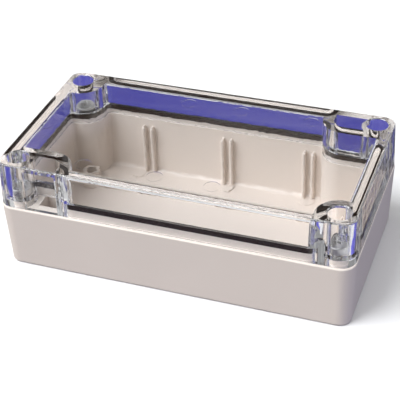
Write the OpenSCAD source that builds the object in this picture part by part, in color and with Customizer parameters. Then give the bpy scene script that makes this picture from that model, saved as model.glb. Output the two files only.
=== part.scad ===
// Sealed wall box for electronics: a moulded base, a deep clear lid held by
// four corner screws in brass inserts, and a one-piece seal round the rim.
// Millimetres, +Z up. The origin is the middle of the underside.
// "Seal line" below is the face of the seal that looks into the box. Plans
// are drawn at a distance e from it, positive towards the inside.

/* [Box] */
// Length of the box over its rim
body_l = 120; // [105:1:180]
// Width of the box over its rim
body_w = 65; // [55:1:110]
// Radius of the upright corners at the rim
corner_r = 5; // [3:0.5:6]

/* [Base] */
// Height of the outer rim that the lid stands on
base_h = 23.5; // [21:0.5:60]
// Thickness of the floor
floor_t = 3; // [2:0.25:4]
// How far the outside leans in from rim to underside, each side
base_lean = 0.85; // [0.3:0.05:1.5]
// Radius of the edge round the underside
foot_r = 1; // [0.5:0.1:2]
// Radius of the edge of the rim
rim_r = 0.5; // [0.2:0.1:0.8]
// Radius between floor and walls inside
floor_r = 1.5; // [0.5:0.1:2.5]

/* [Lid] */
// Height of the lid from its lower edge to its flat top
lid_h = 16.3; // [13:0.1:30]
// Thickness of the flat top
top_t = 2.5; // [1.5:0.1:3.5]
// How far the outside leans in from rim to top, each side
lid_lean = 0.75; // [0.3:0.05:1.5]
// Radius of the edge round the top
top_r = 0.7; // [0.3:0.1:1.2]
// Radius between top and walls inside
ceiling_r = 1; // [0.5:0.1:2]
// How far the inner walls lean in from rim to floor or ceiling
inner_lean = 0.3; // [0.1:0.05:0.6]

/* [Seal] */
// Distance from the outside of the rim to the seal line
seal_in = 3.4; // [3:0.1:4.5]
// Width of the groove in the lid
groove_w = 1.8; // [1.4:0.1:2]
// Thickness of the lid's lip inside the groove
lip_t = 0.8; // [0.6:0.1:1.4]
// Height of the base's tongue above the rim
tongue_h = 3; // [2:0.1:4]
// Height of the base's shoulder above the rim, inside the tongue
shoulder_h = 1.4; // [0.8:0.1:1.8]
// Height of the seal when the lid is down
seal_h = 1.9; // [1.2:0.1:2.4]
// Bend radius of the seal line where a boss meets a wall
seal_bend_r = 2.2; // [2:0.1:3]

/* [Lid screws] */
// Distance of each screw from both outer faces
screw_in = 6.5; // [6:0.1:7.5]
// Diameter of the screw thread
screw_d = 4; // [3:0.5:4]
// Length of the screw under its head
screw_l = 12; // [10:0.5:14]
// Diameter of the screw head
head_d = 7; // [6:0.1:7]
// Height of the screw head
head_h = 2.6; // [1.8:0.1:3]
// Width across the arms of the cross recess
recess_w = 4.2; // [3:0.1:4.4]
// Depth of the cross recess
recess_depth = 1.5; // [1:0.1:1.7]
// Height of the screw seat above the lid's lower edge
seat_t = 3.3; // [2.8:0.1:4]
// Diameter of the collar on the base that fits into the lid round each screw
collar_d = 7.2; // [7:0.1:7.6]
// Height of the collar above the rim
collar_h = 1.7; // [1:0.1:1.8]
// Diameter of the brass insert
insert_d = 5.6; // [5.2:0.1:6.4]
// Length of the brass insert
insert_l = 8; // [6:0.5:9]

/* [Corner bosses] */
// Radius of the seal line round a plain corner boss
boss_r = 7; // [6.5:0.1:7.5]
// Reach of the seal line round a mounting corner, along the length
mount_reach_l = 24.2; // [23:0.1:26]
// Reach of the seal line round a mounting corner, along the width
mount_reach_w = 12.9; // [12.5:0.1:14]
// Length of the pocket for a mounting screw, along the length of the box
mount_pocket_l = 7.8; // [6:0.1:8]
// Width of the pocket for a mounting screw, along the width of the box
mount_pocket_w = 6; // [5.5:0.1:7]
// Diameter of the mounting hole through the floor
mount_hole_d = 3.6; // [3:0.1:4.2]
// Floor left under the pocket
mount_floor_t = 4; // [3:0.1:8]

/* [Card guides] */
// Spacing of the card guides along each long wall
guide_pitch = 30; // [20:1:40]
// Clear width of the slot between the two ribs of a guide
guide_slot = 1.8; // [1.2:0.1:2.6]
// Thickness of a rib
rib_t = 1.3; // [0.8:0.1:2]
// Reach of a rib from the wall
rib_out = 2.2; // [1:0.1:2.5]
// Distance from the rim down to the top of the ribs
rib_drop = 1.3; // [0.5:0.1:6]

/* [Board posts] */
// Distance of the board posts from the end of the box
post_in_l = 11.5; // [10.5:0.1:14]
// Distance of the board posts from the side of the box
post_in_w = 17; // [17:0.1:20]
// Diameter of a board post
post_d = 6; // [5:0.1:6.4]
// Diameter of the hole in a board post
post_hole_d = 3.6; // [2:0.1:3.8]
// Height of a board post above the floor
post_h = 4.5; // [2:0.1:12]

/* [Clearances] */
// Gap between the lid's lower edge and the rim
seam_gap = 0.2; // [0.1:0.05:0.4]
// Gap beside the seal in its groove, and above and below it
seal_gap = 0.05; // [0.02:0.01:0.1]
// Gap beside the tongue in the groove
tongue_gap = 0.15; // [0.1:0.05:0.25]
// Gap round the insert in its hole
insert_gap = 0.02; // [0.01:0.01:0.05]
// Radial gap round the thread in the insert
thread_gap = 0.05; // [0.03:0.01:0.1]
// Radial gap round the thread in the lid
shank_gap = 0.3; // [0.2:0.05:0.4]
// Radial gap round the screw head in the lid
head_gap = 0.2; // [0.1:0.05:0.25]
// Gap beside and above a collar in the lid
collar_gap = 0.15; // [0.1:0.05:0.25]
// Depth of the hole below the screw's tip
tip_gap = 2; // [1:0.5:3]

/* [Hidden] */
$fn = 48;
arc_steps = 5;
cut = 0.5;

// Levels
lid_z = base_h + seam_gap;
lid_top_z = lid_z + lid_h;
ceiling_z = lid_top_z - top_t;
seal_z = base_h + tongue_h + seal_gap;
groove_top_z = seal_z + seal_h + seal_gap;
shoulder_z = base_h + shoulder_h;
lip_z = shoulder_z + seam_gap;
seat_z = lid_z + seat_t;
tip_z = seat_z - screw_l;
insert_z = base_h - insert_l;

// Distances e of the main plans from the seal line
inner_e = lip_t;
tongue_outer_e = tongue_gap - groove_w;
tongue_inner_e = -tongue_gap;

// The two kinds of corner boss
mount_r = boss_r;
tube_t = 1.5;
well_r = head_d / 2 + head_gap;
well_edge = 0.3;
hollow_side_t = 2.8;
hollow_wall_t = 1.2;
hollow_e = -groove_w - hollow_wall_t;
mount_edge_l = mount_reach_l + hollow_e;
mount_edge_w = mount_reach_w + tongue_outer_e;
mount_in_l = mount_edge_l - mount_pocket_l / 2;
mount_in_w = mount_edge_w - mount_pocket_w / 2;

// Card guides that fit between the mounting corners, on each long wall
guide_step = guide_slot + rib_t;
guide_room = body_l / 2 - mount_reach_l - seal_bend_r - (guide_step + rib_t) / 2;
guide_side_n = floor(guide_room / guide_pitch);
wall_in = seal_in + lip_t;

// Broken edge where the lid meets the rim
seam_edge = 0.2;

// Witness marks of the ejector pins
pin_d = 5.4;
pin_depth = 0.15;
floor_pin_h = 0.3;

// [side along the length, side along the width]: -1 is left or front
front_left = [-1, -1];
front_right = [1, -1];
rear_left = [-1, 1];
rear_right = [1, 1];
mount_corners = [front_left, rear_right];
plain_corners = [front_right, rear_left];
all_corners = [front_left, front_right, rear_left, rear_right];

// Puts a corner drawn at the origin, reaching along +X and +Y, in its place
module at_corner(side) {
    translate([side[0] * body_l / 2, side[1] * body_w / 2, 0])
        mirror([side[0] > 0 ? 1 : 0, 0, 0])
            mirror([0, side[1] > 0 ? 1 : 0, 0])
                children();
}

// Points of a quarter arc from angle a to angle a + 90
function arc(centre, r, a) =
    [for (i = [0 : arc_steps])
        let (t = a + 90 * i / arc_steps)
            [centre[0] + r * cos(t), centre[1] + r * sin(t)]];

// ---- plans, parallel to the seal line ----

// Fills the bend between a plain boss and the wall along +X
module boss_bend(e) {
    bend_q = seal_in + seal_bend_r;
    reach = boss_r + seal_bend_r;
    bend_p = screw_in + sqrt(reach * reach - (screw_in - bend_q) * (screw_in - bend_q));
    difference() {
        polygon([[screw_in, screw_in], [bend_p, bend_q], [bend_p, 0], [screw_in, 0]]);
        translate([bend_p, bend_q])
            circle(r = seal_bend_r - e);
    }
}

// Plan of a plain corner boss: round, about its screw
module plain_boss(e) {
    square(screw_in);
    translate([screw_in, screw_in])
        circle(r = boss_r + e);
    boss_bend(e);
    mirror([1, -1, 0])
        boss_bend(e);
}

// Plan of a mounting corner: long enough for a screw and a mounting hole
module mount_boss(e) {
    bend = seal_bend_r - e;
    square([mount_reach_l - mount_r, mount_reach_w + e]);
    square([mount_reach_l + e, mount_reach_w - mount_r]);
    translate([mount_reach_l - mount_r, mount_reach_w - mount_r])
        circle(r = mount_r + e);
    difference() {
        square([mount_reach_l + seal_bend_r, seal_in + seal_bend_r]);
        translate([mount_reach_l + seal_bend_r, seal_in + seal_bend_r])
            circle(r = bend);
    }
    difference() {
        square([seal_in + seal_bend_r, mount_reach_w + seal_bend_r]);
        translate([seal_in + seal_bend_r, mount_reach_w + seal_bend_r])
            circle(r = bend);
    }
}

// The area inside the line that runs e from the seal line
module inside_plan(e) {
    difference() {
        square([body_l - 2 * (seal_in + e), body_w - 2 * (seal_in + e)], center = true);
        for (side = plain_corners)
            at_corner(side) plain_boss(e);
        for (side = mount_corners)
            at_corner(side) mount_boss(e);
    }
}

// ---- forms of the two shells ----

// Outer form of a shell: its half section is swept round the rounded corners.
// The section's points are [distance in from the rim's face, height].
module shell_form(section) {
    low = section[0][1];
    high = section[len(section) - 1][1];
    half = [for (p = section) [corner_r - p[0], p[1]]];
    corner_x = body_l / 2 - corner_r;
    corner_y = body_w / 2 - corner_r;
    for (turn = [[1, 1, 0], [-1, 1, 90], [-1, -1, 180], [1, -1, 270]])
        translate([turn[0] * corner_x, turn[1] * corner_y, 0])
            rotate([0, 0, turn[2]])
                rotate_extrude(angle = 90)
                    polygon(concat([[0, low]], half, [[0, high]]));
    rotate([90, 0, 90])
        linear_extrude(2 * corner_x, center = true)
            full_section(half, corner_y);
    rotate([90, 0, 0])
        linear_extrude(2 * corner_y, center = true)
            full_section(half, corner_x);
}

// A half section and its mirror image, each moved out by reach
module full_section(half, reach) {
    n = len(half);
    polygon(concat(
        [for (p = half) [reach + p[0], p[1]]],
        [for (i = [1 : n]) [-reach - half[n - i][0], half[n - i][1]]]));
}

// A room with leaning walls and a rounded edge at its closed end, as two
// crossed prisms. The section's points are [distance in, height].
module room_form(section) {
    intersection() {
        rotate([90, 0, 90])
            linear_extrude(body_l, center = true)
                full_section([for (p = section) [-p[0], p[1]]], body_w / 2);
        rotate([90, 0, 0])
            linear_extrude(body_w, center = true)
                full_section([for (p = section) [-p[0], p[1]]], body_l / 2);
    }
}

module base_form() {
    lean_r = base_lean + foot_r;
    shell_form(concat(
        [for (p = arc([-lean_r, foot_r], foot_r, -90)) [-p[0], p[1]]],
        [for (p = arc([-rim_r, base_h - rim_r], rim_r, 0)) [-p[0], p[1]]]));
}

module lid_form() {
    lean_r = lid_lean + top_r;
    shell_form(concat(
        [[2 * seam_edge, lid_z], [seam_edge, lid_z + seam_edge]],
        [for (p = arc([-lean_r, lid_top_z - top_r], top_r, 0)) [-p[0], p[1]]]));
}

module base_room() {
    floor_in = wall_in + inner_lean;
    room_form(concat(
        [for (p = arc([-floor_in - floor_r, floor_t + floor_r], floor_r, -90)) [-p[0], p[1]]],
        [[wall_in, base_h + tongue_h + cut]]));
}

module lid_room() {
    ceiling_in = wall_in + inner_lean;
    room_form(concat(
        [[wall_in, lid_z - cut]],
        [for (p = arc([-ceiling_in - ceiling_r, ceiling_z - ceiling_r], ceiling_r, 0))
            [-p[0], p[1]]]));
}

// ---- the base and what is moulded with it ----

// One rib of a card guide, standing on the long wall at y = 0 and facing +Y
module rib() {
    top_z = base_h - rib_drop;
    nose = rib_t / 2;
    root = wall_in - cut;
    tall = top_z - floor_t + cut;
    translate([-nose, root, floor_t - cut])
        cube([rib_t, cut + rib_out - nose, tall - nose]);
    translate([0, wall_in + rib_out - nose, floor_t - cut])
        cylinder(r = nose, h = tall - nose);
    translate([0, wall_in + rib_out - nose, top_z - nose])
        cylinder(r1 = nose, r2 = nose / 2, h = nose);
    translate([-nose / 2, root, top_z - nose])
        cube([nose, cut + rib_out - nose, nose]);
}

module card_guides() {
    for (wall = [-1, 1], i = [-guide_side_n : guide_side_n], rib_side = [-1, 1])
        translate([i * guide_pitch + rib_side * guide_step / 2, wall * body_w / 2, 0])
            mirror([0, wall > 0 ? 1 : 0, 0])
                rib();
}

// Where the ejector pins push on the floor: a corner, the distance in from its
// end of the box and the distance in from its side. Each has a partner that is
// turned half round the middle of the box.
floor_pins = [[rear_left, 26, 8], [rear_left, 60, 7.5], [rear_right, 30, 7.5]];

module floor_details() {
    for (side = all_corners)
        at_corner(side)
            translate([post_in_l, post_in_w, floor_t - cut])
                cylinder(d = post_d, h = cut + post_h);
    for (pin = floor_pins, turn = [0, 180])
        rotate([0, 0, turn])
            at_corner(pin[0])
                translate([pin[1], pin[2], floor_t - cut])
                    cylinder(d = pin_d, h = cut + floor_pin_h);
}

module base_holes() {
    for (side = all_corners)
        at_corner(side) {
            translate([post_in_l, post_in_w, floor_t])
                cylinder(d = post_hole_d, h = post_h + cut);
            translate([screw_in, screw_in, insert_z])
                cylinder(d = insert_d + 2 * insert_gap, h = insert_l + collar_h + cut);
            translate([screw_in, screw_in, tip_z - tip_gap])
                cylinder(d = screw_d + 2 * shank_gap, h = insert_z - tip_z + tip_gap + cut);
        }
    for (side = mount_corners)
        at_corner(side) {
            translate([mount_in_l, mount_in_w, -cut])
                cylinder(d = mount_hole_d, h = mount_floor_t + 2 * cut);
            translate([0, 0, mount_floor_t])
                linear_extrude(base_h)
                    mount_pocket();
        }
}

// Pocket for a mounting screw: its far corner follows the tongue
module mount_pocket() {
    intersection() {
        mount_boss(tongue_outer_e);
        translate([mount_edge_l - mount_pocket_l, mount_edge_w - mount_pocket_w])
            square([mount_pocket_l, mount_pocket_w]);
    }
}

module collars() {
    for (side = all_corners)
        at_corner(side)
            translate([screw_in, screw_in, base_h - cut])
                cylinder(d = collar_d, h = cut + collar_h);
}

module base() {
    color("#cbc4bd")
        difference() {
            union() {
                difference() {
                    union() {
                        base_form();
                        translate([0, 0, base_h - cut])
                            linear_extrude(cut + tongue_h)
                                inside_plan(tongue_outer_e);
                    }
                    translate([0, 0, shoulder_z])
                        linear_extrude(tongue_h)
                            inside_plan(tongue_inner_e);
                    intersection() {
                        base_room();
                        translate([0, 0, floor_t - cut])
                            linear_extrude(base_h + tongue_h)
                                inside_plan(inner_e);
                    }
                }
                card_guides();
                floor_details();
                collars();
            }
            base_holes();
        }
}

// ---- the lid ----

// Hollow over a mounting pocket: parallel to the seal, round the screw's tube
module mount_hollow() {
    difference() {
        intersection() {
            mount_boss(hollow_e);
            translate([screw_in, hollow_side_t])
                square([mount_edge_l - screw_in, mount_reach_w]);
        }
        translate([screw_in, screw_in])
            circle(r = well_r + tube_t);
    }
}

// Where the ejector pins push on the inside of the lid: in a row along each
// long side, as distances from the middle, and one near each end
lid_row_pins = [-12, 7.2, 31.8];
lid_row_in = 9.8;
lid_end_pin_in = 8.4;
lid_end_pin_off = 8.4;
lid_pin_room = body_l / 2 - mount_reach_l - lip_t - pin_d / 2;

module lid_pins() {
    for (turn = [0, 180])
        rotate([0, 0, turn]) {
            for (place = lid_row_pins)
                if (abs(place) < lid_pin_room)
                    translate([place, body_w / 2 - lid_row_in, ceiling_z - cut])
                        cylinder(d = pin_d, h = cut + pin_depth);
            translate([lid_end_pin_in - body_l / 2, -lid_end_pin_off, ceiling_z - cut])
                cylinder(d = pin_d, h = cut + pin_depth);
        }
}

module lid() {
    color([0.9, 0.92, 0.95, 0.35])
        difference() {
            lid_form();
            intersection() {
                lid_room();
                translate([0, 0, lid_z - cut])
                    linear_extrude(lid_h)
                        inside_plan(inner_e);
            }
            // groove for the tongue and the seal
            translate([0, 0, lid_z - cut])
                linear_extrude(groove_top_z - lid_z + cut)
                    difference() {
                        inside_plan(-groove_w);
                        inside_plan(0);
                    }
            // the lip stops above the base's shoulder
            translate([0, 0, lid_z - cut])
                linear_extrude(lip_z - lid_z + cut)
                    inside_plan(-groove_w / 2);
            for (side = all_corners)
                at_corner(side)
                    translate([screw_in, screw_in, 0])
                        screw_way();
            for (side = mount_corners)
                at_corner(side)
                    translate([0, 0, lid_z - cut])
                        linear_extrude(ceiling_z - lid_z + cut)
                            mount_hollow();
            lid_pins();
        }
}

// The way through the lid for a collar, its screw and the screw's head, with
// a broken edge at the mouth of the well
module screw_way() {
    collar_top_z = base_h + collar_h + collar_gap;
    translate([0, 0, lid_z - cut])
        cylinder(r = collar_d / 2 + collar_gap, h = collar_top_z - lid_z + cut);
    translate([0, 0, lid_z])
        cylinder(r = screw_d / 2 + shank_gap, h = seat_t + cut);
    translate([0, 0, seat_z])
        cylinder(r = well_r, h = lid_h);
    translate([0, 0, lid_top_z - well_edge])
        cylinder(r1 = well_r, r2 = well_r + well_edge + cut, h = well_edge + cut);
}

// ---- the seal ----

module seal() {
    color("#1c120c")
        translate([0, 0, seal_z])
            linear_extrude(seal_h)
                difference() {
                    inside_plan(seal_gap - groove_w);
                    inside_plan(-seal_gap);
                }
}

// ---- screws and inserts ----

// Lid screw: cheese head with a cross recess, turned in one piece
module lid_screw(side) {
    r = head_d / 2;
    edge = 0.4;
    tip = 0.6;
    arm = 1.1;
    color("#b9bcc0")
        at_corner(side)
            translate([screw_in, screw_in, seat_z])
                difference() {
                    rotate_extrude()
                        polygon([[0, -screw_l], [screw_d / 2 - tip, -screw_l],
                            [screw_d / 2, tip - screw_l], [screw_d / 2, 0], [r, 0],
                            [r, head_h - edge], [r - edge, head_h], [0, head_h]]);
                    for (turn = [0, 90])
                        rotate([0, 0, turn])
                            translate([-recess_w / 2, -arm / 2, head_h - recess_depth])
                                cube([recess_w, arm, recess_depth + cut]);
                }
}

// Threaded insert: two knurled bands with a waist that the plastic grips
module insert(side) {
    r = insert_d / 2;
    bore = screw_d / 2 + thread_gap;
    waist = 0.3;
    band = insert_l / 3;
    color("#b5963f")
        at_corner(side)
            translate([screw_in, screw_in, insert_z])
                rotate_extrude()
                    polygon([[bore, 0], [r, 0], [r, band], [r - waist, band + waist],
                        [r - waist, 2 * band - waist], [r, 2 * band], [r, insert_l],
                        [bore, insert_l]]);
}

base();
lid();
seal();
lid_screw(front_left);  // lid_screw_front_left
lid_screw(front_right);  // lid_screw_front_right
lid_screw(rear_left);  // lid_screw_rear_left
lid_screw(rear_right);  // lid_screw_rear_right
insert(front_left);  // insert_front_left
insert(front_right);  // insert_front_right
insert(rear_left);  // insert_rear_left
insert(rear_right);  // insert_rear_right
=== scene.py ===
import math

import bmesh
import bpy
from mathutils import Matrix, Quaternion, Vector


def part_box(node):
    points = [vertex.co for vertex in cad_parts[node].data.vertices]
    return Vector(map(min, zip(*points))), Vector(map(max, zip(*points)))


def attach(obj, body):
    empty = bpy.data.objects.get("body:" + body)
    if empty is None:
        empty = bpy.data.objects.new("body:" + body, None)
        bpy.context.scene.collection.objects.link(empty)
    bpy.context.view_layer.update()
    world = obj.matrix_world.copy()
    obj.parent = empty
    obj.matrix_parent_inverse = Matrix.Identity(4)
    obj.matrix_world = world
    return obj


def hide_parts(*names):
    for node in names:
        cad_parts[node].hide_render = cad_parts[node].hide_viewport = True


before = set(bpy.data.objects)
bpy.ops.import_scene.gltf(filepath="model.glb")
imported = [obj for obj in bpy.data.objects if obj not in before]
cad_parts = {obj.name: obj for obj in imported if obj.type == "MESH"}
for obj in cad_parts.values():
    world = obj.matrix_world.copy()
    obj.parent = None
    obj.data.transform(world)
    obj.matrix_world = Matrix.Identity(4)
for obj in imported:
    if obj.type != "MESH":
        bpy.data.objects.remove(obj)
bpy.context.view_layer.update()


# ---- Viewpoint ----
# A long lens held in front of the box and to its right, a third of a metre
# off, looking down on the lid and turned a little on its own axis.
aim_point = Vector((0.0014, -0.0056, 0.020))
aim_distance = 0.3888
azimuth, elevation, roll = math.radians(20.78), math.radians(35.38), math.radians(-2.36)

away = Vector((math.sin(azimuth) * math.cos(elevation),
               -math.cos(azimuth) * math.cos(elevation),
               math.sin(elevation)))
camera = bpy.data.objects.new("camera", bpy.data.cameras.new("camera"))
bpy.context.scene.collection.objects.link(camera)
camera.data.lens = 104.65
camera.data.sensor_width = 36.0
camera.data.clip_start = 0.01
camera.location = aim_point + away * aim_distance
camera.rotation_mode = "QUATERNION"
camera.rotation_quaternion = (-away).to_track_quat("-Z", "Y") @ Quaternion((0, 0, 1), roll)
bpy.context.scene.camera = camera


# ---- Base ----
# The lower shell: warm light grey polycarbonate, injection moulded in a tool
# with a fine spark-eroded skin. Posts, guides and screw bosses are in one
# piece with it.
def add_node(tree, kind, at=(0, 0), **values):
    """A shader node, with the values of its named inputs and its settings."""
    node = tree.nodes.new(kind)
    node.location = at
    for name, value in values.items():
        label = name.replace("_", " ")
        if label in node.inputs:
            node.inputs[label].default_value = value
        else:
            setattr(node, name, value)
    return node


def new_finish(name):
    """A material of that name, with its node tree and its Principled shader."""
    finish = bpy.data.materials.new(name)
    finish.use_nodes = True
    tree = finish.node_tree
    shader = tree.nodes["Principled BSDF"]
    return finish, tree, shader


def give_finish(node_names, finish):
    """Puts a finish on these nodes of the frame."""
    for name in node_names:
        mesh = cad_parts[name].data
        mesh.materials.clear()
        mesh.materials.append(finish)


def moulded_skin_group():
    """Grain, tone and handling marks of a moulded plastic or rubber skin."""
    group = bpy.data.node_groups.new("moulded_skin", "ShaderNodeTree")
    face = group.interface
    face.new_socket("Colour", in_out="INPUT", socket_type="NodeSocketColor")
    for label, start in (("Tone", 0.03), ("Grain size", 0.0003), ("Grain depth", 0.00001),
                         ("Roughness", 0.45), ("Handling", 0.06)):
        face.new_socket(label, in_out="INPUT", socket_type="NodeSocketFloat").default_value = start
    face.new_socket("Colour", in_out="OUTPUT", socket_type="NodeSocketColor")
    face.new_socket("Roughness", in_out="OUTPUT", socket_type="NodeSocketFloat")
    face.new_socket("Normal", in_out="OUTPUT", socket_type="NodeSocketVector")
    given = add_node(group, "NodeGroupInput", (-1200, 0))
    made = add_node(group, "NodeGroupOutput", (700, 0))
    place = add_node(group, "ShaderNodeTexCoord", (-1200, 400))
    link = group.links.new

    # slow change of tone where the melt flowed and cooled
    flow = add_node(group, "ShaderNodeTexNoise", (-900, 500), Scale=28.0, Detail=3.0, Roughness=0.5)
    link(place.outputs["Object"], flow.inputs["Vector"])
    spread = add_node(group, "ShaderNodeMapRange", (-650, 500))
    spread.inputs["From Min"].default_value = 0.3
    spread.inputs["From Max"].default_value = 0.7
    spread.inputs["To Min"].default_value = -1.0
    link(flow.outputs["Fac"], spread.inputs["Value"])
    amount = add_node(group, "ShaderNodeMath", (-420, 500), operation="MULTIPLY")
    link(spread.outputs["Result"], amount.inputs[0])
    link(given.outputs["Tone"], amount.inputs[1])
    level = add_node(group, "ShaderNodeMath", (-200, 500), operation="ADD")
    level.inputs[1].default_value = 1.0
    link(amount.outputs[0], level.inputs[0])
    toned = add_node(group, "ShaderNodeVectorMath", (60, 400), operation="SCALE")
    link(given.outputs["Colour"], toned.inputs[0])
    link(level.outputs[0], toned.inputs["Scale"])
    link(toned.outputs[0], made.inputs["Colour"])

    # fingers and packing leave slightly shinier and duller patches
    rub = add_node(group, "ShaderNodeTexNoise", (-900, 150), Scale=90.0, Detail=4.0, Roughness=0.6)
    link(place.outputs["Object"], rub.inputs["Vector"])
    off = add_node(group, "ShaderNodeMath", (-650, 150), operation="SUBTRACT")
    off.inputs[1].default_value = 0.5
    link(rub.outputs["Fac"], off.inputs[0])
    part = add_node(group, "ShaderNodeMath", (-420, 150), operation="MULTIPLY_ADD")
    link(off.outputs[0], part.inputs[0])
    link(given.outputs["Handling"], part.inputs[1])
    link(given.outputs["Roughness"], part.inputs[2])
    link(part.outputs[0], made.inputs["Roughness"])

    # the tool's spark-eroded grain
    fine = add_node(group, "ShaderNodeMath", (-900, -250), operation="DIVIDE")
    fine.inputs[0].default_value = 1.0
    link(given.outputs["Grain size"], fine.inputs[1])
    grain = add_node(group, "ShaderNodeTexNoise", (-650, -250), Detail=2.0, Roughness=0.55)
    link(place.outputs["Object"], grain.inputs["Vector"])
    link(fine.outputs[0], grain.inputs["Scale"])
    skin = add_node(group, "ShaderNodeBump", (60, -250), Strength=1.0)
    link(given.outputs["Grain depth"], skin.inputs["Distance"])
    link(grain.outputs["Fac"], skin.inputs["Height"])
    link(skin.outputs["Normal"], made.inputs["Normal"])
    return group


moulded_skin = moulded_skin_group()


def add_skin(tree, shader, **values):
    """Drives a Principled shader from the moulded skin group."""
    skin = add_node(tree, "ShaderNodeGroup", (-320, 200), node_tree=moulded_skin)
    for name, value in values.items():
        skin.inputs[name.replace("_", " ")].default_value = value
    tree.links.new(skin.outputs["Colour"], shader.inputs["Base Color"])
    tree.links.new(skin.outputs["Roughness"], shader.inputs["Roughness"])
    tree.links.new(skin.outputs["Normal"], shader.inputs["Normal"])


base_plastic, tree, shader = new_finish("moulded_base")
shader.inputs["IOR"].default_value = 1.585
add_skin(tree, shader, Colour=(0.74, 0.66, 0.595, 1), Tone=0.02, Grain_size=0.0004,
         Grain_depth=0.00002, Roughness=0.42, Handling=0.1)
give_finish(["base"], base_plastic)


# ---- Lid ----
# The deep upper shell: clear polycarbonate from a polished tool. Light for
# the inside of the box passes straight through it.
lid_plastic, tree, shader = new_finish("clear_lid")
shader.inputs["Transmission Weight"].default_value = 1.0
shader.inputs["IOR"].default_value = 1.585
add_skin(tree, shader, Colour=(0.97, 0.98, 0.99, 1), Tone=0.005, Grain_size=0.004,
         Grain_depth=0.00002, Roughness=0.02, Handling=0.05)
paths = add_node(tree, "ShaderNodeLightPath", (-300, -500))
soft_light = add_node(tree, "ShaderNodeMath", (-60, -400), operation="MAXIMUM")
tree.links.new(paths.outputs["Is Shadow Ray"], soft_light.inputs[0])
tree.links.new(paths.outputs["Is Diffuse Ray"], soft_light.inputs[1])
clear = add_node(tree, "ShaderNodeBsdfTransparent", (60, -200), Color=(0.95, 0.955, 0.96, 1))
either = add_node(tree, "ShaderNodeMixShader", (400, 0))
tree.links.new(soft_light.outputs[0], either.inputs[0])
tree.links.new(shader.outputs[0], either.inputs[1])
tree.links.new(clear.outputs[0], either.inputs[2])
tree.links.new(either.outputs[0], tree.nodes["Material Output"].inputs["Surface"])
give_finish(["lid"], lid_plastic)


# ---- Seal ----
# One moulded ring of near-black silicone rubber in the lid's groove.
seal_rubber, tree, shader = new_finish("moulded_seal")
shader.inputs["Specular IOR Level"].default_value = 0.0
add_skin(tree, shader, Colour=(0.014, 0.006, 0.003, 1), Tone=0.08, Grain_size=0.0003,
         Grain_depth=0.00001, Roughness=0.75, Handling=0.1)
give_finish(["seal"], seal_rubber)


# ---- Lid screws ----
# M4 cheese-head screws of stainless steel, turned, with a cross recess struck
# in the head and a rolled thread. One stands in each corner well of the lid.
screw_steel, tree, shader = new_finish("turned_steel")
shader.inputs["Metallic"].default_value = 1.0
add_skin(tree, shader, Colour=(0.62, 0.61, 0.60, 1), Tone=0.05, Grain_size=0.0002,
         Grain_depth=0.000004, Roughness=0.28, Handling=0.12)

shank_radius = 0.002
thread_pitch = 0.0007
thread_depth = 0.00043
thread_start = 0.00035
head_height = 0.0026
head_edge = 0.0004
neck_length = 0.0011
tip_length = 0.0005
recess_reach, recess_width, recess_depth = 0.0021, 0.0011, 0.0015
around = 48


def turned(shape, outline):
    """Rings of a turned form with this outline of radius and height, joined by faces."""
    rings = []
    for radius, height in outline:
        turns = [2 * math.pi * i / around for i in range(around if radius else 1)]
        rings.append([shape.verts.new((radius * math.cos(t), radius * math.sin(t), height))
                      for t in turns])
    for low, high in zip(rings, rings[1:]):
        for i in range(around):
            j = (i + 1) % around
            corners = [low[i % len(low)], low[j % len(low)], high[j % len(high)],
                       high[i % len(high)]]
            shape.faces.new(list(dict.fromkeys(corners)))
    return rings


def as_mesh(shape, name):
    """A mesh of that name, smooth except at its sharp edges."""
    bmesh.ops.recalc_face_normals(shape, faces=shape.faces)
    mesh = bpy.data.meshes.new(name)
    shape.to_mesh(mesh)
    shape.free()
    mesh.shade_smooth()
    mesh.set_sharp_from_angle(angle=math.radians(30))
    return mesh


def screw_body(length, head_radius):
    """Head with its cross recess, neck and core of a screw. Its tip is at the origin."""
    core = shank_radius - thread_depth
    neck = core + 0.5 * thread_depth
    seat = length - head_height
    shape = bmesh.new()
    rings = turned(shape, [
        (0.0, 0.0), (core - 0.6 * tip_length, 0.0), (core, tip_length),
        (core, seat - neck_length), (neck, seat - 0.8 * neck_length), (neck, seat),
        (head_radius - 0.4 * head_edge, seat), (head_radius, seat + 0.4 * head_edge),
        (head_radius, length - head_edge),
        (head_radius - 0.12 * head_edge, length - 0.5 * head_edge),
        (head_radius - 0.5 * head_edge, length - 0.12 * head_edge),
        (head_radius - head_edge, length)])

    # the recess narrows as it goes down, to a small cone at its foot
    loops = []
    for reach, width, depth in ((1.0, 1.0, 0.0), (0.96, 0.9, 0.06), (0.8, 0.82, 0.6),
                                (0.5, 0.75, 1.0)):
        far, half = recess_reach * reach, recess_width * width / 2
        z = length - recess_depth * depth
        loops.append([shape.verts.new((x * c - y * s, x * s + y * c, z))
                      for c, s in ((1, 0), (0, 1), (-1, 0), (0, -1))
                      for x, y in ((far, -half), (far, half), (half, half))])
    foot = shape.verts.new((0.0, 0.0, length - 1.15 * recess_depth))
    count = len(loops[0])
    for high, low in zip(loops, loops[1:]):
        for i in range(count):
            j = (i + 1) % count
            shape.faces.new((high[i], high[j], low[j], low[i]))
    for i in range(count):
        shape.faces.new((loops[-1][i], loops[-1][(i + 1) % count], foot))
    rims = [shape.edges.get((ring[i], ring[(i + 1) % len(ring)]))
            for ring in (rings[-1], loops[0]) for i in range(len(ring))]
    bmesh.ops.triangle_fill(shape, edges=rims, use_beauty=True)
    return as_mesh(shape, "screw_body")


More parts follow.
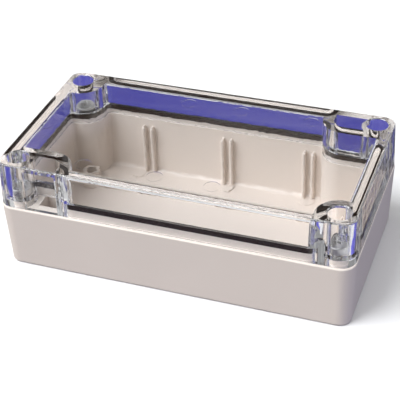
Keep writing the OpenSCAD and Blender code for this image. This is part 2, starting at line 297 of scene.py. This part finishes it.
def node_tree(name, sockets):
    """A geometry node tree with these inputs, its ends, and its call that links two sockets."""
    tree = bpy.data.node_groups.new(name, "GeometryNodeTree")
    for label, kind in (("Geometry", "Geometry"),) + sockets:
        tree.interface.new_socket(label, in_out="INPUT", socket_type="NodeSocket" + kind)
    tree.interface.new_socket("Geometry", in_out="OUTPUT", socket_type="NodeSocketGeometry")
    given = tree.nodes.new("NodeGroupInput")
    made = tree.nodes.new("NodeGroupOutput")
    return tree, given, made, tree.links.new


def wound_thread_tree():
    """Winds a ridge round a body, tapering out at both ends, and puts the two in their place."""
    tree, given, made, link = node_tree("wound_thread", (
        ("Pitch", "Float"), ("Turns", "Float"), ("Core", "Float"), ("Depth", "Float"),
        ("Start", "Float"), ("Place", "Vector"), ("Finish", "Material")))
    rise = add_node(tree, "ShaderNodeMath", operation="MULTIPLY")
    link(given.outputs["Pitch"], rise.inputs[0])
    link(given.outputs["Turns"], rise.inputs[1])
    path = add_node(tree, "GeometryNodeCurveSpiral")
    path.inputs["Resolution"].default_value = 36
    link(given.outputs["Turns"], path.inputs["Rotations"])
    link(given.outputs["Core"], path.inputs["Start Radius"])
    link(given.outputs["Core"], path.inputs["End Radius"])
    link(rise.outputs[0], path.inputs["Height"])
    upright = add_node(tree, "GeometryNodeSetCurveNormal", mode="Z_UP")
    link(path.outputs["Curve"], upright.inputs["Curve"])

    # the ridge's section: shares of the pitch across it, and of the depth out of the core
    ridge = add_node(tree, "GeometryNodeCurvePrimitiveQuadrilateral", mode="POINTS")
    for label, across, out in (("Point 1", 0.44, 0.1), ("Point 2", 0.07, -1.0),
                               ("Point 3", -0.07, -1.0), ("Point 4", -0.44, 0.1)):
        wide = add_node(tree, "ShaderNodeMath", operation="MULTIPLY")
        wide.inputs[1].default_value = across
        link(given.outputs["Pitch"], wide.inputs[0])
        deep = add_node(tree, "ShaderNodeMath", operation="MULTIPLY")
        deep.inputs[1].default_value = out
        link(given.outputs["Depth"], deep.inputs[0])
        corner = add_node(tree, "ShaderNodeCombineXYZ")
        link(deep.outputs[0], corner.inputs["X"])
        link(wide.outputs[0], corner.inputs["Y"])
        link(corner.outputs[0], ridge.inputs[label])

    # it grows out of the core at one end and sinks back at the other
    fade_share, thinnest = 0.05, 0.04
    along = add_node(tree, "GeometryNodeSplineParameter")
    size = add_node(tree, "ShaderNodeMath", operation="MULTIPLY")
    for end, (start, stop, low, high) in enumerate(((0.0, fade_share, thinnest, 1.0),
                                                    (1.0 - fade_share, 1.0, 1.0, thinnest))):
        fade = add_node(tree, "ShaderNodeMapRange", From_Min=start, From_Max=stop,
                        To_Min=low, To_Max=high)
        link(along.outputs["Factor"], fade.inputs["Value"])
        link(fade.outputs["Result"], size.inputs[end])
    sweep = add_node(tree, "GeometryNodeCurveToMesh")
    sweep.inputs["Fill Caps"].default_value = True
    link(upright.outputs["Curve"], sweep.inputs["Curve"])
    link(ridge.outputs["Curve"], sweep.inputs["Profile Curve"])
    link(size.outputs[0], sweep.inputs["Scale"])

    lift = add_node(tree, "ShaderNodeCombineXYZ")
    link(given.outputs["Start"], lift.inputs["Z"])
    raised = add_node(tree, "GeometryNodeTransform")
    link(sweep.outputs["Mesh"], raised.inputs["Geometry"])
    link(lift.outputs[0], raised.inputs["Translation"])
    both = add_node(tree, "GeometryNodeJoinGeometry")
    link(raised.outputs[0], both.inputs[0])
    link(given.outputs["Geometry"], both.inputs[0])
    placed = add_node(tree, "GeometryNodeTransform")
    link(both.outputs[0], placed.inputs["Geometry"])
    link(given.outputs["Place"], placed.inputs["Translation"])
    real = add_node(tree, "GeometryNodeRealizeInstances")
    link(placed.outputs[0], real.inputs["Geometry"])
    painted = add_node(tree, "GeometryNodeSetMaterial")
    link(real.outputs[0], painted.inputs["Geometry"])
    link(given.outputs["Finish"], painted.inputs["Material"])
    link(painted.outputs[0], made.inputs[0])
    return tree


def built(name, body, *steps):
    """A plain mesh object, made from that body by node trees with these input values."""
    piece = bpy.data.objects.new(name, body.copy())
    bpy.context.scene.collection.objects.link(piece)
    for tree, values in steps:
        step = piece.modifiers.new(tree.name, "NODES")
        step.node_group = tree
        for socket in tree.interface.items_tree:
            if socket.in_out == "INPUT" and socket.name in values:
                step[socket.identifier] = values[socket.name]
    graph = bpy.context.evaluated_depsgraph_get()
    mesh = bpy.data.meshes.new_from_object(piece.evaluated_get(graph), depsgraph=graph)
    piece.modifiers.clear()
    piece.data = mesh

    # a swept ridge may come out inside out, and the trees leave an empty material slot
    shape = bmesh.new()
    shape.from_mesh(mesh)
    bmesh.ops.recalc_face_normals(shape, faces=shape.faces)
    shape.to_mesh(mesh)
    shape.free()
    mesh.materials.clear()
    mesh.materials.append(steps[-1][1]["Finish"])
    return piece


wound_thread = wound_thread_tree()
for node in [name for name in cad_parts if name.startswith("lid_screw")]:
    low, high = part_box(node)
    length = high.z - low.z
    turns = (length - head_height - neck_length - tip_length) / thread_pitch
    screw = built("cross_" + node, screw_body(length, (high.x - low.x) / 2),
                  (wound_thread, {"Pitch": thread_pitch, "Turns": turns,
                                  "Core": shank_radius - thread_depth, "Depth": thread_depth,
                                  "Start": thread_start,
                                  "Place": ((low.x + high.x) / 2, (low.y + high.y) / 2, low.z),
                                  "Finish": screw_steel}))
    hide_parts(node)
    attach(screw, node)


# ---- Inserts ----
# Brass inserts for the lid screws, turned with two knurled bands and tapped
# M4. They are pressed hot into the bosses of the base, which holds the knurls.
insert_brass, tree, shader = new_finish("turned_brass")
shader.inputs["Metallic"].default_value = 1.0
add_skin(tree, shader, Colour=(0.72, 0.50, 0.19, 1), Tone=0.06, Grain_size=0.0002,
         Grain_depth=0.000004, Roughness=0.3, Handling=0.1)

bore_radius = 0.00205
bore_chamfer = 0.0001
groove_depth = 0.0002
knurl_count = 36
knurl_depth = 0.00018
waist_depth = 0.0003
band_slope = 0.0003


def knurl_tree():
    """Sets upright ridges round a turned body, in two bands."""
    tree, given, made, link = node_tree("knurl", (
        ("Count", "Int"), ("Radius", "Float"), ("Depth", "Float"), ("Band", "Float"),
        ("Low band", "Float"), ("High band", "Float")))
    ring = add_node(tree, "GeometryNodeMeshCircle")
    link(given.outputs["Count"], ring.inputs["Vertices"])
    link(given.outputs["Radius"], ring.inputs["Radius"])
    ridge = add_node(tree, "GeometryNodeMeshCylinder")
    ridge.inputs["Vertices"].default_value = 4
    link(given.outputs["Depth"], ridge.inputs["Radius"])
    link(given.outputs["Band"], ridge.inputs["Depth"])
    spot = add_node(tree, "GeometryNodeInputPosition")
    outwards = add_node(tree, "FunctionNodeAlignRotationToVector", axis="X")
    link(spot.outputs[0], outwards.inputs["Vector"])
    ridges = add_node(tree, "GeometryNodeInstanceOnPoints")
    link(ring.outputs["Mesh"], ridges.inputs["Points"])
    link(ridge.outputs["Mesh"], ridges.inputs["Instance"])
    link(outwards.outputs[0], ridges.inputs["Rotation"])
    whole = add_node(tree, "GeometryNodeJoinGeometry")
    link(given.outputs["Geometry"], whole.inputs[0])
    for label in ("Low band", "High band"):
        lift = add_node(tree, "ShaderNodeCombineXYZ")
        link(given.outputs[label], lift.inputs["Z"])
        raised = add_node(tree, "GeometryNodeTransform")
        link(ridges.outputs[0], raised.inputs["Geometry"])
        link(lift.outputs[0], raised.inputs["Translation"])
        link(raised.outputs[0], whole.inputs[0])
    real = add_node(tree, "GeometryNodeRealizeInstances")
    link(whole.outputs[0], real.inputs["Geometry"])
    link(real.outputs[0], made.inputs[0])
    return tree


def insert_body(length, outer):
    """The turned brass of an insert without its knurls. Its foot is at the origin."""
    body = outer - knurl_depth
    waist = outer - waist_depth - knurl_depth
    tapped = bore_radius + groove_depth
    mouth = tapped + bore_chamfer
    band = length / 3
    shape = bmesh.new()
    turned(shape, [
        (mouth, 0.0), (body - band_slope, 0.0), (body, band_slope),
        (body, band - band_slope), (waist, band), (waist, 2 * band),
        (body, 2 * band + band_slope), (body, length - band_slope),
        (body - band_slope, length), (mouth, length),
        (tapped, length - bore_chamfer), (tapped, bore_chamfer), (mouth, 0.0)])
    bmesh.ops.remove_doubles(shape, verts=shape.verts, dist=0.000001)
    return as_mesh(shape, "insert_body")


knurl = knurl_tree()
for node in [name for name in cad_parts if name.startswith("insert")]:
    low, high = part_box(node)
    length, outer = high.z - low.z, (high.x - low.x) / 2
    band = length / 3
    insert = built("tapped_" + node, insert_body(length, outer),
                   (knurl, {"Count": knurl_count, "Radius": outer - knurl_depth,
                            "Depth": knurl_depth, "Band": band - 2 * band_slope,
                            "Low band": band / 2, "High band": length - band / 2}),
                   (wound_thread, {"Pitch": thread_pitch,
                                   "Turns": (length - 2 * bore_chamfer) / thread_pitch,
                                   "Core": bore_radius + groove_depth, "Depth": -groove_depth,
                                   "Start": bore_chamfer,
                                   "Place": ((low.x + high.x) / 2, (low.y + high.y) / 2, low.z),
                                   "Finish": insert_brass}))
    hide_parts(node)
    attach(insert, "base")


# ---- Studio ----
# A white floor out to a low white wall, and cards just under it that only the
# clear walls show. A soft sun stands high at the front left and a faint one
# low at the right. The room has a light ceiling and dimmer walls.
def flat_sheet(name, low_x, low_y, high_x, high_y, z):
    """A level sheet between these edges."""
    mesh = bpy.data.meshes.new(name)
    mesh.from_pydata([(low_x, low_y, z), (high_x, low_y, z), (high_x, high_y, z),
                      (low_x, high_y, z)], [], [(0, 1, 2, 3)])
    sheet = bpy.data.objects.new(name, mesh)
    bpy.context.scene.collection.objects.link(sheet)
    return sheet


# the camera alone sees this floor
floor_reach = 4.0
floor_sheet = flat_sheet("studio_floor", -floor_reach, -floor_reach,
                         floor_reach, floor_reach, 0.0)
floor_paint, tree, shader = new_finish("floor_paint")
shader.inputs["Base Color"].default_value = (0.9, 0.9, 0.9, 1)
shader.inputs["Roughness"].default_value = 0.9
shader.inputs["Specular IOR Level"].default_value = 0.0
floor_sheet.data.materials.append(floor_paint)
floor_sheet.visible_diffuse = False
floor_sheet.visible_glossy = False
floor_sheet.visible_transmission = False
floor_sheet.visible_shadow = False


def table_top(name, edges, depth, colour):
    """A part of the table top. The camera sees the white floor in its place."""
    sheet = flat_sheet(name, *edges, -depth)
    paint, tree, shader = new_finish(name + "_paint")
    shader.inputs["Base Color"].default_value = colour
    shader.inputs["Roughness"].default_value = 0.8
    shader.inputs["Specular IOR Level"].default_value = 0.0
    sheet.data.materials.append(paint)
    return sheet


# the clear walls show blue card behind the box and beside it, with pale card
# further off, and the base gets its light from a plain grey table under all
# the card at the right lies in the box's shadow; its lighter blue is painted light that stands in
# for the light the shadow takes from it
blue, painted_lit_blue = (0.07, 0.067, 0.34, 1), (0.15, 0.14, 0.6, 1)
pale, grey = (0.7, 0.69, 0.7, 1), (0.13, 0.12, 0.15, 1)
for name, edges, depth, colour in (
        ("blue_card", (-0.12, 0.015, 0.12, 0.105), 0.0005, blue),
        ("blue_left", (-0.115, -0.045, -0.09, 0.0), 0.0005, blue),
        # painted light: a lighter blue on the card that lies in the box's shadow
        ("blue_right", (0.076, -0.02, 0.093, 0.015), 0.0005, painted_lit_blue),
        ("pale_left", (-floor_reach, -floor_reach, -0.088, 0.105), 0.0008, pale),
        ("pale_right", (0.088, -floor_reach, floor_reach, 0.105), 0.0008, pale),
        ("pale_rear", (-floor_reach, 0.105, floor_reach, floor_reach), 0.0008, pale)):
    sheet = table_top(name, edges, depth, colour)
    sheet.visible_diffuse = False
    sheet.visible_glossy = False
table_top("grey_table", (-floor_reach, -floor_reach, floor_reach, floor_reach), 0.0011, grey)

wall_radius, wall_foot, wall_top, sides = 3.9, -0.01, 1.8, 48
turns = [2 * math.pi * i / sides for i in range(sides)]
ring = [(wall_radius * math.cos(t), wall_radius * math.sin(t)) for t in turns]
wall_mesh = bpy.data.meshes.new("low_wall")
wall_mesh.from_pydata([(x, y, z) for z in (wall_foot, wall_top) for x, y in ring], [],
                      [(i, (i + 1) % sides, (i + 1) % sides + sides, i + sides)
                       for i in range(sides)])
low_wall = bpy.data.objects.new("low_wall", wall_mesh)
bpy.context.scene.collection.objects.link(low_wall)
low_wall.visible_shadow = False
low_wall.visible_diffuse = False
wall_paint = bpy.data.materials.new("wall_paint")
wall_paint.use_nodes = True
tree = wall_paint.node_tree
tree.nodes.remove(tree.nodes["Principled BSDF"])
glow = add_node(tree, "ShaderNodeEmission", (0, 0), Strength=1.0)
tree.links.new(glow.outputs[0], tree.nodes["Material Output"].inputs["Surface"])
wall_mesh.materials.append(wall_paint)


def soft_sun(name, towards, strength, spread, colour):
    """A sun in that direction from the origin, spread over that many degrees."""
    sun = bpy.data.lights.new(name, "SUN")
    sun.energy = strength
    sun.angle = math.radians(spread)
    sun.color = colour
    stand = bpy.data.objects.new(name, sun)
    stand.rotation_mode = "QUATERNION"
    stand.rotation_quaternion = towards.to_track_quat("Z", "Y")
    stand.visible_transmission = False
    bpy.context.scene.collection.objects.link(stand)
    return stand


soft_sun("key_sun", Vector((-0.55, -0.45, 0.70)), 3.4, 45.0, (0.96, 0.975, 1.0))
side_sun = soft_sun("side_sun", Vector((1.0, -0.1, 0.05)), 1.15, 6.0, (0.66, 0.71, 1.0))
side_sun.visible_glossy = False

# the room is grey with a light ceiling and a dimmer right wall, and a dark
# curtain hangs behind the box where its flat top would mirror the wall
room = bpy.data.worlds.new("room")
bpy.context.scene.world = room
room.use_nodes = True
tree = room.node_tree
sky = tree.nodes["Background"]
sky.inputs["Color"].default_value = (1, 1, 1, 1)
look = add_node(tree, "ShaderNodeTexCoord", (-1300, 0))
parts = add_node(tree, "ShaderNodeSeparateXYZ", (-1050, 100))
tree.links.new(look.outputs["Generated"], parts.inputs[0])


def ramp(tree, source, start, end, low, high):
    """A smooth step from low to high while the source goes from start to end."""
    step = add_node(tree, "ShaderNodeMapRange", (-700, 0), interpolation_type="SMOOTHSTEP")
    for label, value in (("From Min", start), ("From Max", end),
                         ("To Min", low), ("To Max", high)):
        step.inputs[label].default_value = value
    tree.links.new(source, step.inputs["Value"])
    return step.outputs["Result"]


walls = ramp(tree, parts.outputs["Z"], 0.62, 0.92, 0.66, 1.0)
right_wall = ramp(tree, parts.outputs["X"], 0.0, 0.6, 1.0, 0.45)
both_walls = add_node(tree, "ShaderNodeMath", (-450, 0), operation="MULTIPLY")
tree.links.new(walls, both_walls.inputs[0])
tree.links.new(right_wall, both_walls.inputs[1])
towards = add_node(tree, "ShaderNodeVectorMath", (-1050, -200), operation="DOT_PRODUCT")
towards.inputs[1].default_value = (-0.289, 0.762, 0.579)
tree.links.new(look.outputs["Generated"], towards.inputs[0])
curtain = ramp(tree, towards.outputs["Value"], 0.84, 0.93, 1.0, 0.03)
dimmed = add_node(tree, "ShaderNodeMath", (-300, 0), operation="MULTIPLY")
tree.links.new(both_walls.outputs[0], dimmed.inputs[0])
tree.links.new(curtain, dimmed.inputs[1])
tree.links.new(dimmed.outputs[0], sky.inputs["Strength"])

bpy.context.scene.view_settings.view_transform = "Standard"
# light is followed through as many turns inside the clear walls as they give it
bpy.context.scene.cycles.max_bounces = 24
bpy.context.scene.cycles.glossy_bounces = 24
bpy.context.scene.cycles.transmission_bounces = 24
